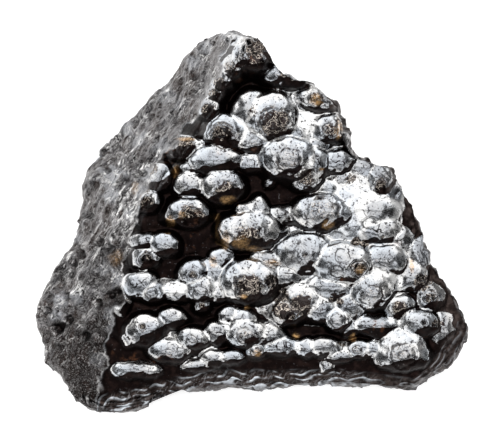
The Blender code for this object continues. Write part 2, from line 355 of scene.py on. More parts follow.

# %% [markdown]
# ## The marks on the knobs
# Many knobs carry a mark on top: a thin ring where the last layer ended, a double ring,
# or a small crater where the last layer flaked off. Some are dark and rough inside, and a
# few are only a scab without a ring. Each mark is listed.

# %% The marks
MARKS = (
    # across, up, radius, kind, and how dark and rough it is inside
    (3.9, 16.2, 2.7, "double", 0.7), (1.0, 12.9, 1.0, "ring", 0.2),
    (12.9, 15.2, 1.3, "double", 0.6), (6.2, 10.1, 1.9, "ring", 0.35),
    (9.1, 7.3, 1.5, "double", 0.7), (-6.8, 18.7, 1.1, "crater", 0.9),
    (-4.4, 14.3, 2.0, "crater", 0.6), (-3.9, 4.6, 1.9, "double", 0.8),
    (-9.5, 0.4, 2.0, "crater", 0.9), (-16.7, 2.9, 1.3, "crater", 0.8),
    (-0.1, -3.4, 2.4, "double", 0.85), (11.7, 1.1, 2.7, "ring", 0.35),
    (19.4, -0.5, 1.0, "ring", 0.05), (21.5, -2.7, 0.4, "crater", 0.5),
    (21.0, 5.6, 1.2, "crater", 0.8), (14.9, -6.1, 1.2, "ring", 0.1),
    (14.1, -8.7, 1.0, "ring", 0.15), (17.8, -8.3, 1.4, "double", 0.65),
    (19.7, -12.9, 1.8, "ring", 0.3), (24.4, -15.0, 1.3, "double", 0.8),
    (-0.1, -11.4, 2.3, "double", 0.8), (-16.8, -6.7, 1.2, "crater", 0.6),
    (-16.0, -12.4, 1.0, "ring", 0.2), (-8.1, -12.5, 1.3, "ring", 0.15),
    (-9.3, -9.4, 0.7, "crater", 0.5), (14.3, -17.2, 1.3, "ring", 0.2),
    (-17.5, -18.2, 0.6, "crater", 0.5), (-16.5, -19.9, 1.2, "ring", 0.2),
    (-0.9, -19.8, 1.3, "double", 0.45), (1.1, -22.5, 1.1, "ring", 0.5),
    (25.1, -23.2, 2.1, "double", 0.3), (17.6, -22.3, 0.8, "ring", 0.3),
    (28.4, -17.6, 0.5, "crater", 0.5), (-7.8, -14.7, 0.6, "crater", 0.7),
    (8.9, -5.9, 0.5, "crater", 0.4), (-9.5, -20.6, 0.9, "ring", 0.3),
    (6.6, -16.4, 0.9, "crater", 0.8), (13.2, -13.7, 0.6, "scab", 1.0),
    (14.6, -13.9, 0.6, "scab", 1.0), (17.2, -3.6, 0.8, "scab", 1.0),
    (18.6, -3.9, 0.7, "scab", 1.0), (29.4, -13.3, 1.2, "double", 0.6),
    (10.4, 20.4, 1.2, "ring", 0.6), (-13.2, -22.9, 0.8, "ring", 0.4),
    (8.2, -14.4, 2.0, "scab", 0.8), (-1.2, -2.0, 1.6, "scab", 0.5),
    (4.2, 17.0, 1.6, "scab", 0.6), (10.6, 2.2, 1.2, "scab", 0.5),
    (2.0, -14.2, 1.0, "scab", 0.5), (28.0, -10.6, 1.8, "scab", 0.7),
    (16.2, 7.0, 1.1, "scab", 0.6), (30.6, -18.0, 1.4, "scab", 0.6),
    (-20.4, -14.0, 1.2, "scab", 0.5),
    (-14.2, 13.6, 1.7, "scab", 0.7), (-16.4, 9.0, 1.7, "scab", 0.7),
    (-17.2, 5.8, 1.4, "scab", 0.8), (-19.6, 0.8, 1.4, "scab", 0.7),
    (4.6, -12.6, 1.8, "scab", 0.9), (5.2, -15.4, 1.6, "scab", 0.9),
    (3.4, -10.2, 1.2, "scab", 0.8),
    (-10.4, 12.5, 1.7, "double", 0.8), (0.8, 29.0, 2.2, "scab", 0.7),
    (-1.1, 27.0, 1.3, "scab", 0.55), (-3.0, 25.4, 1.2, "scab", 0.55),
    (-5.0, 23.2, 1.2, "scab", 0.6), (-5.8, 21.2, 1.1, "scab", 0.6),
    (1.0, 26.4, 1.4, "scab", 0.8),
    (5.7, 23.8, 1.6, "scab", 0.6), (0.3, 18.0, 1.2, "scab", 0.45),
)
print(len(MARKS), "marks")

# %% [markdown]
# ## Growing the crust
# The height of the crust at a place is the height of the highest knob there. Taking the
# highest of many domes gives the sharp valleys of the real crust, and a very short blend
# leaves the thin rounded line at the bottom of each valley. Past its reach a knob drops
# away steeply to the floor of the crust, which the finish paints near black as painted
# shade. The marks are pressed into that surface.

# %% Crust height
KNOB_SWELL = 1.13
KNOB_FALL = 0.42
KNOB_ROUND = 0.55
KNOB_CLIFF = 1.9
VALLEY_BLEND = 0.32
KNOB_END = 2.5
BURIED = -50.0
GROUND_COUNT = 8
COVER_END = 1.12
MARK_KINDS = {"scab": 3.0, "crater": 2.0, "double": 1.0, "ring": 0.0}


def crust_floor(points):
    """The lumpy floor between the knobs."""
    return 0.2 + 0.55 * noise(points, 5.0, 21) + 0.35 * noise(points, 2.0, 22)


def crust(across, up):
    """The crust's height, and where its knobs, crowns, broad ground and valleys are."""
    points = flat(across, up)
    sway = 0.45 * np.stack([noise(points, 3.4, 11), noise(points, 3.4, 12)], axis=1)
    sway += 0.20 * np.stack([noise(points, 1.2, 13), noise(points, 1.2, 14)], axis=1)
    across, up = across + sway[:, 0], up + sway[:, 1]
    height = crust_floor(points)
    on_knob = np.zeros_like(across)
    crown = np.zeros_like(across)
    ground = np.zeros_like(across)
    valley = np.zeros_like(across)
    full_drop = math.sqrt(1 + KNOB_ROUND ** 2) - KNOB_ROUND
    for number, (middle, rise_at, side, reach_up, reach_down, rise) in enumerate(KNOBS):
        above = up - rise_at
        above = np.where(above > 0, above / reach_up, above / reach_down)
        distance = np.sqrt(((across - middle) / side) ** 2 + above ** 2) / KNOB_SWELL
        size = (side + side + reach_up + reach_down) / 4
        drop = (np.sqrt(distance ** 2 + KNOB_ROUND ** 2) - KNOB_ROUND) / full_drop
        dome = rise - KNOB_FALL * size * drop
        dome = dome - KNOB_CLIFF * size * np.clip(distance - 1, 0, None)
        dome = np.where(distance < KNOB_END, dome, BURIED)
        part = np.clip(0.5 + (dome - height) / (2 * VALLEY_BLEND), 0, 1)
        valley = valley * (1 - part) + 4 * part * (1 - part) * (distance < 1.3)
        covered = np.maximum(1 - ramp(distance, 1.0, COVER_END), 0.9 * on_knob)
        on_knob = on_knob * (1 - part) + part * covered
        if number < GROUND_COUNT:
            ground = np.maximum(ground, 1 - ramp(distance, 0.7, 1.05))
        else:
            crown = crown * (1 - part) + part * np.clip(1 - distance, 0, 1)
        height = height * (1 - part) + dome * part + VALLEY_BLEND * part * (1 - part)
    return height, on_knob, crown, ground, valley


GROOVE_WIDTH = 0.18
INNER_WIDTH = 0.15
LIP_WIDTH = 0.2
LIP_PLACE = 0.36
DEEPEST_CRATER = 1.4


def ridge_line(distance, place, width):
    """A soft ring at one distance: 1 on it, and 0 away from it."""
    return np.exp(-((distance - place) / width) ** 2)


def press_marks(across, up, height):
    """Presses the marks into the crust. Also returns the way to the nearest mark."""
    points = flat(across, up)
    wobble = 1 + 0.24 * noise(points, 1.7, 31) + 0.12 * noise(points, 0.7, 32)
    way_out = np.full_like(height, 3.0)
    kind_here = np.zeros_like(height)
    dark_here = np.zeros_like(height)
    for middle, rise_at, radius, kind, dark in MARKS:
        distance = np.hypot(across - middle, up - rise_at) * wobble
        near = distance < radius * 2.2
        groove = ridge_line(distance, radius, GROOVE_WIDTH)
        lip = ridge_line(distance, radius + LIP_PLACE, LIP_WIDTH)
        inside = 1 - ramp(distance, radius * 0.75, radius * 1.05)
        if kind == "scab":
            change = -0.05 * inside
        elif kind == "crater":
            bowl = 1 - ramp(distance, radius * 0.35, radius)
            change = -0.8 * min(radius, DEEPEST_CRATER) * bowl + 0.16 * lip
        elif kind == "ring":
            change = -0.20 * groove + 0.08 * lip - 0.04 * inside
        else:
            inner = ridge_line(distance, radius * 0.45, INNER_WIDTH)
            change = -0.22 * groove + 0.10 * lip - 0.12 * inner - 0.06 * inside
        closer = near & (distance / radius < way_out)
        way_out = np.where(closer, distance / radius, way_out)
        kind_here = np.where(closer, MARK_KINDS[kind], kind_here)
        dark_here = np.maximum(dark_here, dark * (1 - ramp(distance / radius, 0.55, 1.35)))
        height = height + np.where(near, change, 0)
    return height, way_out, kind_here, dark_here


test_height = crust(np.array([4.2, -8.0]), np.array([18.0, -5.0]))[0]
print("height on a knob and between knobs, in mm:", np.round(test_height, 2))

# %% [markdown]
# ## Where it rusts
# Water creeps into a few cracks and leaves ochre there. The spots are listed one by one:
# how far across and up, how wide and how long, and how strong the stain is.

# %% Rust spots
STAINS = (
    (11.5, 8.6, 0.5, 0.4, 1.0), (-4.0, -3.2, 0.8, 1.8, 0.8), (-12.8, -0.1, 0.9, 1.2, 0.8),
    (-11.0, 0.9, 0.7, 0.7, 0.6), (-5.2, -1.4, 0.5, 2.6, 0.7), (-6.0, -7.0, 0.7, 1.2, 0.7),
    (-0.4, -15.0, 0.5, 0.4, 1.0), (-1.0, -13.0, 0.6, 0.4, 0.9), (10.6, 20.2, 1.3, 0.9, 0.7),
    (-10.2, 13.7, 1.6, 0.4, 0.8), (-3.6, 3.4, 1.4, 0.8, 0.6), (12.6, -0.8, 1.2, 0.8, 0.5),
    (26.3, -7.7, 0.5, 1.4, 0.8), (16.8, -20.2, 0.6, 0.8, 0.8), (7.5, -19.9, 0.6, 0.6, 0.8),
    (-18.8, 5.6, 0.9, 1.4, 0.3), (-22.0, -6.3, 1.4, 1.6, 0.25), (1.2, -22.7, 0.8, 0.7, 0.6),
    (3.6, -7.2, 1.6, 0.7, 0.5), (-1.5, -3.8, 1.6, 1.4, 0.4), (17.9, -8.5, 1.0, 0.8, 0.5),
    (14.2, 15.4, 0.7, 1.8, 0.5), (-12.0, 8.4, 0.6, 1.2, 0.5), (0.5, -4.9, 1.8, 0.5, 0.5),
)


def stain(across, up):
    """How much ochre each place of the face carries, from 0 to 1."""
    points = flat(across, up)
    ragged = 0.55 * layers_of_noise(points, 0.9, 81, 2)
    total = np.zeros_like(across)
    for middle, rise_at, wide, long, strength in STAINS:
        away = ((across - middle) / wide) ** 2 + ((up - rise_at) / long) ** 2
        total = np.maximum(total, strength * np.clip(1.1 - away + ragged, 0, 1) * (away < 4))
    return total


print(len(STAINS), "stains")

# %% [markdown]
# ## Pits and painted highlight patches of the broken slope
# The broken slope on the left is not even. A few deep pits and one groove were torn out
# of it, and the finish paints them near black as painted shade. Some patches are painted
# lighter as painted highlights. They are listed as well, in the same directions as the knobs.

# %% Pits and patches
PITS = (
    # across, up, radius, depth
    (-25.0, -3.8, 0.9, 0.9), (-23.0, -5.0, 1.2, 0.9), (-25.0, -14.3, 0.8, 0.9),
    (-33.6, -13.0, 0.9, 0.7), (-33.8, -15.8, 0.8, 0.7), (-30.5, -13.3, 0.7, 0.7),
    (-32.0, -18.5, 1.3, 1.0), (-30.0, -17.3, 0.9, 0.8), (-28.0, -5.8, 0.9, 0.9),
    (-28.8, -7.4, 0.9, 0.9), (-29.6, -9.0, 0.9, 0.9), (-21.8, -12.0, 0.7, 0.8),
    (-22.8, -12.9, 0.7, 0.8), (-21.5, 12.4, 0.6, 0.5), (-24.0, 9.0, 0.6, 0.5),
    (-26.8, 1.0, 0.8, 0.6), (-27.0, -20.0, 1.0, 0.8), (-23.5, -20.5, 0.8, 0.7),
    (-17.6, 8.0, 0.9, 0.7), (-13.0, 20.0, 0.8, 0.5), (-9.0, 24.5, 0.8, 0.5),
)
HIGHLIGHT_PATCHES = (
    # across, up, radius, strength
    (-23.0, 8.0, 2.4, 0.9), (-23.0, 4.6, 1.8, 0.9), (-18.5, 13.8, 1.8, 0.7),
    (-31.4, -14.0, 1.6, 0.9), (-32.0, -16.5, 1.4, 0.8), (-21.5, -10.0, 1.8, 1.0),
    (-22.0, -16.0, 2.0, 0.9), (-22.6, -19.0, 1.6, 0.7), (-28.8, -13.0, 1.6, 0.8),
    (-9.5, 27.0, 1.4, 0.8), (-7.0, 29.5, 1.4, 0.8), (-14.0, 21.5, 1.6, 0.6),
    (-26.0, 11.0, 1.2, 0.6), (-20.5, 16.0, 1.4, 0.7), (-24.0, -8.5, 1.4, 0.6),
    (-3.1, 31.0, 1.3, 0.6), (-1.6, 26.6, 0.8, 0.5), (-4.8, 22.8, 0.8, 0.5),
    (-14.5, 12.5, 1.8, 0.7), (-16.8, 8.0, 1.6, 0.8), (-17.5, 5.0, 1.2, 0.6),
    (-19.5, 1.0, 1.2, 0.7), (-11.5, 10.4, 1.6, 0.6),
    (-25.0, -24.0, 1.8, 0.6), (-11.5, 20.0, 1.6, 0.5), (-29.0, -3.0, 1.4, 0.5),
)


def spots(across, up, table, seed):
    """The soft spots of a table with ragged edges, each times its own strength."""
    points = flat(across, up)
    ragged = 1 + 0.5 * noise(points, 1.1, seed)
    total = np.zeros_like(across)
    for middle, rise_at, radius, strength in table:
        away = np.hypot(across - middle, up - rise_at) / radius * ragged
        total = np.maximum(total, strength * (1 - ramp(away, 0.45, 1.15)))
    return total


print(len(PITS), "pits and", len(HIGHLIGHT_PATCHES), "highlight_patches")

# %% [markdown]
# ## The ridge and the rim
# The crust ends on the left at a ragged ridge, and at its front and right it ends at the
# rim of the stone, where its thin layers show as steps. Both lines are drawn.

# %% Ridge and rim
RIDGE = (
    # up, across
    (-34.0, -25.5), (-30.0, -25.0), (-24.5, -24.0), (-18.5, -23.0), (-13.4, -20.6),
    (-7.4, -20.4), (-2.2, -19.4), (3.8, -17.4), (9.8, -15.2), (13.5, -12.4), (17.5, -8.6),
    (21.0, -7.2), (25.0, -5.0), (30.0, -3.4), (34.0, -3.0),
)
RIM = (
    # across, up, and how wide the layered band is there
    (2.3, 29.7, 2.4), (6.5, 25.4, 1.2), (11.6, 22.5, 1.0), (15.5, 16.5, 1.6),
    (20.0, 10.6, 2.0), (24.1, 5.1, 1.8), (26.9, 0.0, 1.6), (29.8, -9.1, 1.6),
    (35.0, -19.4, 2.4), (31.6, -25.4, 2.0), (27.2, -28.5, 1.2), (15.0, -27.8, 2.0),
    (1.5, -29.0, 3.2), (-7.0, -29.5, 3.6), (-15.6, -31.2, 3.0), (-23.3, -32.6, 2.5),
)


def beyond_ridge(across, up):
    """How far each point lies to the left of the ragged ridge."""
    points = flat(across, up)
    line_up, line_across = np.array(RIDGE).T
    ragged = 1.4 * noise(points, 3.6, 91) + 0.6 * noise(points, 1.1, 92)
    return np.interp(up, line_up, line_across) + ragged - across


def inside_rim(across, up):
    """How far each point lies from the rim, and how wide the layered band is there."""
    nearest = np.full_like(across, 99.0)
    width = np.ones_like(across)
    for (x1, y1, w1), (x2, y2, w2) in zip(RIM, RIM[1:]):
        length = (x2 - x1) ** 2 + (y2 - y1) ** 2
        along = np.clip(((across - x1) * (x2 - x1) + (up - y1) * (y2 - y1)) / length, 0, 1)
        away = np.hypot(across - x1 - along * (x2 - x1), up - y1 - along * (y2 - y1))
        width = np.where(away < nearest, w1 + along * (w2 - w1), width)
        nearest = np.minimum(nearest, away)
    return nearest, width


print("the ridge has", len(RIDGE), "points and the rim has", len(RIM))

# %% [markdown]
# ## Sorting the skin
# The grabs come first, and points of the knobbed face keep their level in them. Then the
# way that each point faces and how deep it lies tell whether it belongs to the knobbed
# face, to the underside, to the broken slope on the left or to another side. Each answer
# is a soft mask from 0 to 1, so that one kind of surface fades into the next.

# %% Grab and sort the skin
GROWTH_LEAN = 0.325


def read_points(mesh):
    """The mesh's points and their normals."""
    points = np.empty(len(mesh.vertices) * 3)
    mesh.vertices.foreach_get("co", points)
    directions = np.empty(len(mesh.vertices) * 3)
    mesh.vertex_normals.foreach_get("vector", directions)
    return points.reshape(-1, 3), directions.reshape(-1, 3)


def on_knobbed_face(points, directions):
    """How much each point belongs to the knobbed face, which lies level here."""
    return ramp(directions[:, 2], 0.55, 0.93) * ramp(points[:, 2], -5.0, -1.5)


turn = np.array(face_to_stone.to_3x3())
face_middle = np.array(FACE_MIDDLE)
points, directions = read_points(stone.data)
stays_level = on_knobbed_face(points, directions)
grabbed = (grab(points @ turn.T + face_middle) - face_middle) @ turn
grabbed[:, 2] = grabbed[:, 2] * (1 - stays_level) + points[:, 2] * stays_level
stone.data.vertices.foreach_set("co", grabbed.ravel())
stone.data.update()

points, directions = read_points(stone.data)
face_part = on_knobbed_face(points, directions)
base_part = ramp(directions @ base_normal, 0.8, 0.95)
left_part = ramp(-directions[:, 0], 0.3, 0.6) * ramp(directions[:, 2], -0.05, 0.25)
other_side = (1 - face_part) * (1 - left_part)
across, seen_up = points[:, 0], points[:, 1] - GROWTH_LEAN * points[:, 2]
print(round(float(face_part.mean()) * 100), "percent of the points carry knobs")

# %% [markdown]
# ## Raising the crust
# The knobs grew at a slight lean up the face, so the crust is raised that way. The side
# of a knob that faces down and to the right is found from the fall of the crust, so that
# the finish can paint that side near black as painted shade. At the rim the crust ends in
# thin layers, which show as steps, and the rough insides of the marks curl like old paint.

# %% Raise the crust
SLOPE_STEP = 0.25
SHADE_ACROSS, SHADE_UP = 0.42, 0.91
GROUND_LIFT = 0.14
LAYER_WIDTH = 1.25
LAYER_STEP = 0.35
CURL_HEIGHT = 0.30

crust_height, on_knob, crown, ground, valley = crust(across, seen_up)
behind = crust(across - SHADE_ACROSS * SLOPE_STEP, seen_up + SHADE_UP * SLOPE_STEP)[0]
ahead = crust(across + SHADE_ACROSS * SLOPE_STEP, seen_up - SHADE_UP * SLOPE_STEP)[0]
fall = (behind - ahead) / (2 * SLOPE_STEP) - GROUND_LIFT * ground
# painted shade: the side of each knob that falls towards the lower right is painted near black in
# the finish
underside = ramp(fall, 0.09, 0.44 + 0.2 * ground)

crust_height, way_out, mark_kind, mark_dark = press_marks(across, seen_up, crust_height)
flat_points = flat(across, seen_up)
crust_height += 0.035 * layers_of_noise(flat_points, 2.2, 33, 2)
from_rim, rim_width = inside_rim(across, seen_up)
rim_part = 1 - ramp(from_rim, rim_width * 0.7, rim_width * 1.1)
lamina = from_rim + 1.6 * noise(flat_points, 6.0, 93) + 0.7 * noise(flat_points, 2.2, 94)
lamina = lamina / LAYER_WIDTH
layer_fall = LAYER_STEP * (lamina - np.floor(lamina)) - LAYER_STEP
crust_height = crust_height + rim_part * layer_fall
curls = 0.5 - np.abs(noise(flat_points, 1.5, 36) + 0.4 * noise(flat_points, 0.7, 37))
crust_height += 0.02 * layers_of_noise(flat_points, 0.75, 35, 2) + CURL_HEIGHT * mark_dark * curls
print("highest knob in mm:", round(float(crust_height.max()), 1))

# %% [markdown]
# ## Breaking the sides
# The sides broke into flat chips with faint layers, which are strongest near the crust.
# The left slope is finely fibrous, as broken kidney ore is, because its crystals grow as
# fibres: its noise is drawn out along the fibres. The places that face the light are kept
# as a mask, so that the finish can brighten them.

# %% Break the sides
FLATTEN = np.diag([0.30, 0.30, 1.0])
FIBRE_WAY = np.array([0.46, 0.86, 0.22]) / np.linalg.norm([0.46, 0.86, 0.22])
FIBRE_STRETCH = 0.78
LIGHT_WAY = np.array([-0.60, 0.75, 0.25])
LIGHT_STEP = 0.3


def side_relief(points):
    """The height of the broken sides: chips, lumps and faint layers."""
    height = 0.16 * chips(points, 9.0, 41) + 0.14 * chips(points, 3.6, 47)
    height += 0.4 * layers_of_noise(points, 3.2, 51, 2)
    along = points @ FLATTEN + 0.4 * noise(points, 4.0, 61)[:, None]
    near_crust = ramp(points[:, 2], -7.0, -1.0)
    return height + 0.16 * noise(along, 0.55, 62) * (0.5 + near_crust)


def left_relief(points):
    """The height of the broken slope: chips, folds and long fibres."""
    sway = 1.2 * np.stack([noise(points, 4.0, 73 + axis) for axis in range(3)], axis=1)
    streaks = points + sway
    streaks = streaks - FIBRE_STRETCH * (streaks @ FIBRE_WAY)[:, None] * FIBRE_WAY
    height = 0.14 * chips(points, 6.0, 75) + 0.5 * noise(points, 6.0, 79)
    height += 0.18 * noise(streaks, 0.9, 71) + 0.45 * noise(streaks, 2.4, 72)
    return height + 0.34 * layers_of_noise(points, 2.0, 76, 2)


side_height = side_relief(points)
to_light = LIGHT_STEP * LIGHT_WAY
rise_to_light = left_relief(points - to_light) - left_relief(points + to_light)
lit = ramp(rise_to_light / (2 * LIGHT_STEP), -0.10, 0.45)
pits = spots(across, seen_up, PITS, 84)
highlight_patches = spots(across, seen_up, HIGHLIGHT_PATCHES, 85)
left_height = left_relief(points) - pits
print("deepest pit in mm:", round(float(pits.max()), 1))

# %% [markdown]
# ## Moving the skin
# Now every point moves once: along the growth of the crust by the crust's height, and
# along its own normal by the roughness of broken rock. The crust stops at the ragged
# ridge, and deep down on the left it gives way to broken rock.

# %% Move the points
past_ridge = beyond_ridge(across, seen_up)
deep = 1 - ramp(points[:, 2] + 0.8 * noise(points, 2.5, 95), -8.0, -5.5)
crust_part = (1 - other_side) * (1 - np.maximum(ramp(past_ridge, -0.2, 1.4), deep))
slope_part = (1 - other_side) * np.maximum(ramp(past_ridge, 0.0, 1.4), deep)
grown = np.array([0.0, GROWTH_LEAN, 1.0]) * (crust_height * crust_part)[:, None]
rough_height = side_height * other_side + left_height * slope_part
roughened = directions * (rough_height * (1 - base_part))[:, None]
moved = points + grown + roughened
print("farthest move in mm:", round(float(np.linalg.norm(moved - points, axis=1).max()), 1))

# %% [markdown]
# ## Lean the stone forward and set it down
# The finished skin is turned back into the stone's own directions and scaled to metres.
# Its underside is ground flat, so that it rests on the table without rocking.

# %% Set the stone down
moved = moved @ turn.T + face_middle
under = base_part > 0.5
moved[under, 2] = 0.0
moved[:, 2] = np.maximum(moved[:, 2], 0.0)
stone.data.vertices.foreach_set("co", (moved * MM).ravel())
stone.data.update()
stone.data.calc_loop_triangles()
select_only(stone)
bpy.ops.object.shade_smooth()
print("the stone has", len(stone.data.loop_triangles), "triangles")
print("stone box in mm:", np.round(moved.min(axis=0), 1), np.round(moved.max(axis=0), 1))

# %% [markdown]
# ## Masks for the finish
# What was worked out for each point is kept on the mesh as named numbers, so that the
# finish can follow the shape: painted shade in a hollow has to lie exactly in the hollow.

# %% Keep the masks
def keep(name, values):
    """Stores one number per point of the stone, for the materials to read."""
    layer = stone.data.attributes.new(name, "FLOAT", "POINT")
    layer.data.foreach_set("value", values.astype(np.float32))


beyond = np.maximum(ramp(past_ridge, -0.3, 0.3), deep)
keep("broken", other_side + (1 - other_side) * beyond)
keep("left_slope", (1 - other_side) * beyond)
keep("pits", pits)
keep("highlight_patches", highlight_patches)
keep("lit", lit)
# painted shadow: the left slope is painted darker in its low left corner and beside the ridge in
# its lower half
low_corner = ramp(-seen_up, 14.0, 24.0) * ramp(across, -36.0, -27.0)
by_ridge = (1 - ramp(past_ridge, 0.8, 5.0)) * ramp(-seen_up, 0.0, 12.0)
keep("slope_shadow", np.maximum(low_corner, by_ridge))

keep("on_knob", on_knob)
keep("crown", crown)
peak = ramp(seen_up, 19.5, 22.0) * (1 - ramp(across, 2.0, 3.6))
keep("valley", np.clip(valley, 0, 1) * (1 - underside) * (1 - 0.8 * peak))
# painted shade: where the knob undersides are painted near black
keep("underside", underside * (1 - other_side))
keep("ochre", stain(across, seen_up) * (1 - other_side))
keep("way_out", np.where(other_side < 0.8, way_out, 3.0))
keep("mark_kind", mark_kind)
keep("mark_dark", mark_dark * (1 - other_side))

keep("rim", rim_part)
keep("lamina", lamina)
# painted shine of the layer edges: strongest towards the front edge, weaker on the right
keep("layer_shine", (1 - 0.7 * ramp(across, 13.0, 22.0)) * ramp(-seen_up, 14.0, 24.0))
print("masks:", [layer.name for layer in stone.data.attributes if layer.data_type == "FLOAT"])

# %% [markdown]
# ## Shader maths
# The finish is written as sums of masks. A small class wraps a socket, so that + and *
# on values add the Math nodes that do the same sum.

# %% Shader helpers
class Value:
    """A socket that can be added, multiplied and compared like a number."""

    def __init__(self, tree, socket):
        self.tree, self.socket = tree, socket

    def maths(self, operation, *numbers):
        """Adds one Math node."""
        node = self.tree.nodes.new("ShaderNodeMath")
        node.operation = operation
        for slot, item in zip(node.inputs, numbers):
            if isinstance(item, Value):
                self.tree.links.new(item.socket, slot)
            else:
                slot.default_value = item
        return Value(self.tree, node.outputs[0])

    def __add__(self, other):
        return self.maths("ADD", self, other)

    def __sub__(self, other):
        return self.maths("SUBTRACT", self, other)

    def __rsub__(self, other):
        return self.maths("SUBTRACT", other, self)

    def __mul__(self, other):
        return self.maths("MULTIPLY", self, other)

    __radd__, __rmul__ = __add__, __mul__

    def most(self, other):
        """The larger of two values."""
        return self.maths("MAXIMUM", self, other)

    def between(self, low, high):
        """0 below low, 1 above high."""
        node = self.tree.nodes.new("ShaderNodeMapRange")
        node.interpolation_type = "SMOOTHSTEP"
        self.tree.links.new(self.socket, node.inputs["Value"])
        node.inputs["From Min"].default_value = low
        node.inputs["From Max"].default_value = high
        return Value(self.tree, node.outputs["Result"])


class Finish:
    """One material, with short ways to add its nodes."""

    def __init__(self, name):
        self.material = bpy.data.materials.new(name)
        self.material.use_nodes = True
        self.tree = self.material.node_tree
        self.shader = self.tree.nodes["Principled BSDF"]
        coordinates = self.tree.nodes.new("ShaderNodeTexCoord")
        self.place = coordinates.outputs["Object"]

    def add(self, kind, settings=None, output=0, **sockets):
        """Adds a node: its settings first, then the values or links of its sockets."""
        node = self.tree.nodes.new(kind)
        for key, value in (settings or {}).items():
            setattr(node, key, value)
        for key, value in sockets.items():
            slot = node.inputs[key.replace("_", " ")]
            self.plug(slot, value)
        return Value(self.tree, node.outputs[output])

    def plug(self, slot, value):
        """Links a value to a socket, or sets the socket to a number or colour."""
        if isinstance(value, Value):
            self.tree.links.new(value.socket, slot)
        elif isinstance(value, bpy.types.NodeSocket):
            self.tree.links.new(value, slot)
        else:
            slot.default_value = value

    def vector(self, operation, first, second=None, scale=None):
        """Adds one Vector Math node."""
        node = self.tree.nodes.new("ShaderNodeVectorMath")
        node.operation = operation
        self.plug(node.inputs[0], first)
        if second is not None:
            self.plug(node.inputs[1], second)
        if scale is not None:
            self.plug(node.inputs["Scale"], scale)
        return Value(self.tree, node.outputs[1 if operation == "DOT_PRODUCT" else 0])

    def mask(self, name):
        """A number that is kept on the stone's points."""
        return self.add("ShaderNodeAttribute", {"attribute_name": name}, output="Fac")

    def grain(self, size, detail=2.0, roughness=0.5):
        """Noise from 0 to 1 with spots of a given size in millimetres."""
        return self.add("ShaderNodeTexNoise", None, 0, Vector=self.place, Scale=1 / (size * MM),
                        Detail=detail, Roughness=roughness)

    def line(self, pattern, level, thinness, fade=0.0):
        """A thin line where a pattern passes a level: 1 on the line, 0 away from it."""
        away = pattern - level
        return 1 - (away * away * thinness).between(fade, 1.0)

    def fibrous(self, way, stretch, size, shift=None):
        """Noise that is drawn out along one direction, like fibres."""
        along = self.vector("DOT_PRODUCT", self.place, way)
        pull = self.vector("SCALE", way, scale=along * stretch)
        place = self.vector("SUBTRACT", self.place, pull)
        if shift:
            place = self.vector("ADD", place, [step * MM for step in shift])
        return self.add("ShaderNodeTexNoise", None, 0, Vector=place, Scale=1 / (size * MM),
                        Detail=4.0, Roughness=0.6, Distortion=0.7)

    def colour_mix(self, factor, first, second):
        """Blends two colours."""
        node = self.tree.nodes.new("ShaderNodeMix")
        node.data_type = "RGBA"
        self.plug(node.inputs["Factor"], factor)
        for slot, colour in ((node.inputs["A"], first), (node.inputs["B"], second)):
            if isinstance(colour, tuple):
                slot.default_value = (*colour, 1.0)
            else:
                self.plug(slot, colour)
        return Value(self.tree, node.outputs["Result"])


print("shader helpers ready")

# %% [markdown]
# ## The grain of the stone
# Hematite reflects light much as a metal does, so the whole stone is one metallic finish
# whose colour and roughness change from place to place. First come its patterns: grain
# of several sizes, fine cracks, curly lines, and the fibres of the broken slope.

# %% Patterns
hematite = Finish("hematite")
is_broken = hematite.mask("broken")
on_crust = 1 - is_broken

fine = hematite.grain(0.35, 3.0, 0.6)
small = hematite.grain(1.1, 3.0, 0.55)
large = hematite.grain(6.0, 3.0, 0.5)
grit = hematite.grain(0.24, 2.0, 0.7)
glints = hematite.grain(0.5, 4.0, 0.7)
drift = hematite.grain(2.2, 2.0)
sheen = hematite.grain(4.5, 2.0).between(0.35, 0.65)
specks = (fine + (small - 0.5) * 0.5).between(0.36, 0.41)

CRACK_SWAY = 1.6
swirl = hematite.add("ShaderNodeTexNoise", None, 1, Vector=hematite.place, Scale=1 / (1.5 * MM))
small_swirl = hematite.vector("SCALE", swirl, scale=CRACK_SWAY * MM)
crack_place = hematite.vector("ADD", hematite.place, small_swirl)
crack_cells = hematite.add("ShaderNodeTexVoronoi", {"feature": "DISTANCE_TO_EDGE"}, 0,
                           Vector=crack_place, Scale=1 / (2.4 * MM))
cracks = (1 - crack_cells.between(0.02, 0.05)) * drift.between(0.53, 0.60)

swirls = hematite.grain(1.4, 3.0, 0.55)
swirl_lines = hematite.line(swirls, 0.5, 2500.0, 0.2).most(hematite.line(swirls, 0.61, 3000.0, 0.2))
curl_lines = hematite.line(swirls, 0.43, 2500.0, 0.2)

FIBRE_PATTERN = (0.46, 0.74, 0.49)
fibres = hematite.fibrous(FIBRE_PATTERN, 0.82, 1.0)
fibres_to_light = hematite.fibrous(FIBRE_PATTERN, 0.82, 1.0, shift=(-0.08, 0.10, 0.04))
lumps = hematite.fibrous(FIBRE_PATTERN, 0.3, 1.5)
lumps_to_light = hematite.fibrous(FIBRE_PATTERN, 0.3, 1.5, shift=(-0.10, 0.12, 0.05))
print("patterns ready")

# %% [markdown]
# ## The colours of the stone
# Every colour is one that hematite really takes: bluish steel where it is polished,
# black where it is hollow, brown where a layer has flaked, and ochre where it rusts.

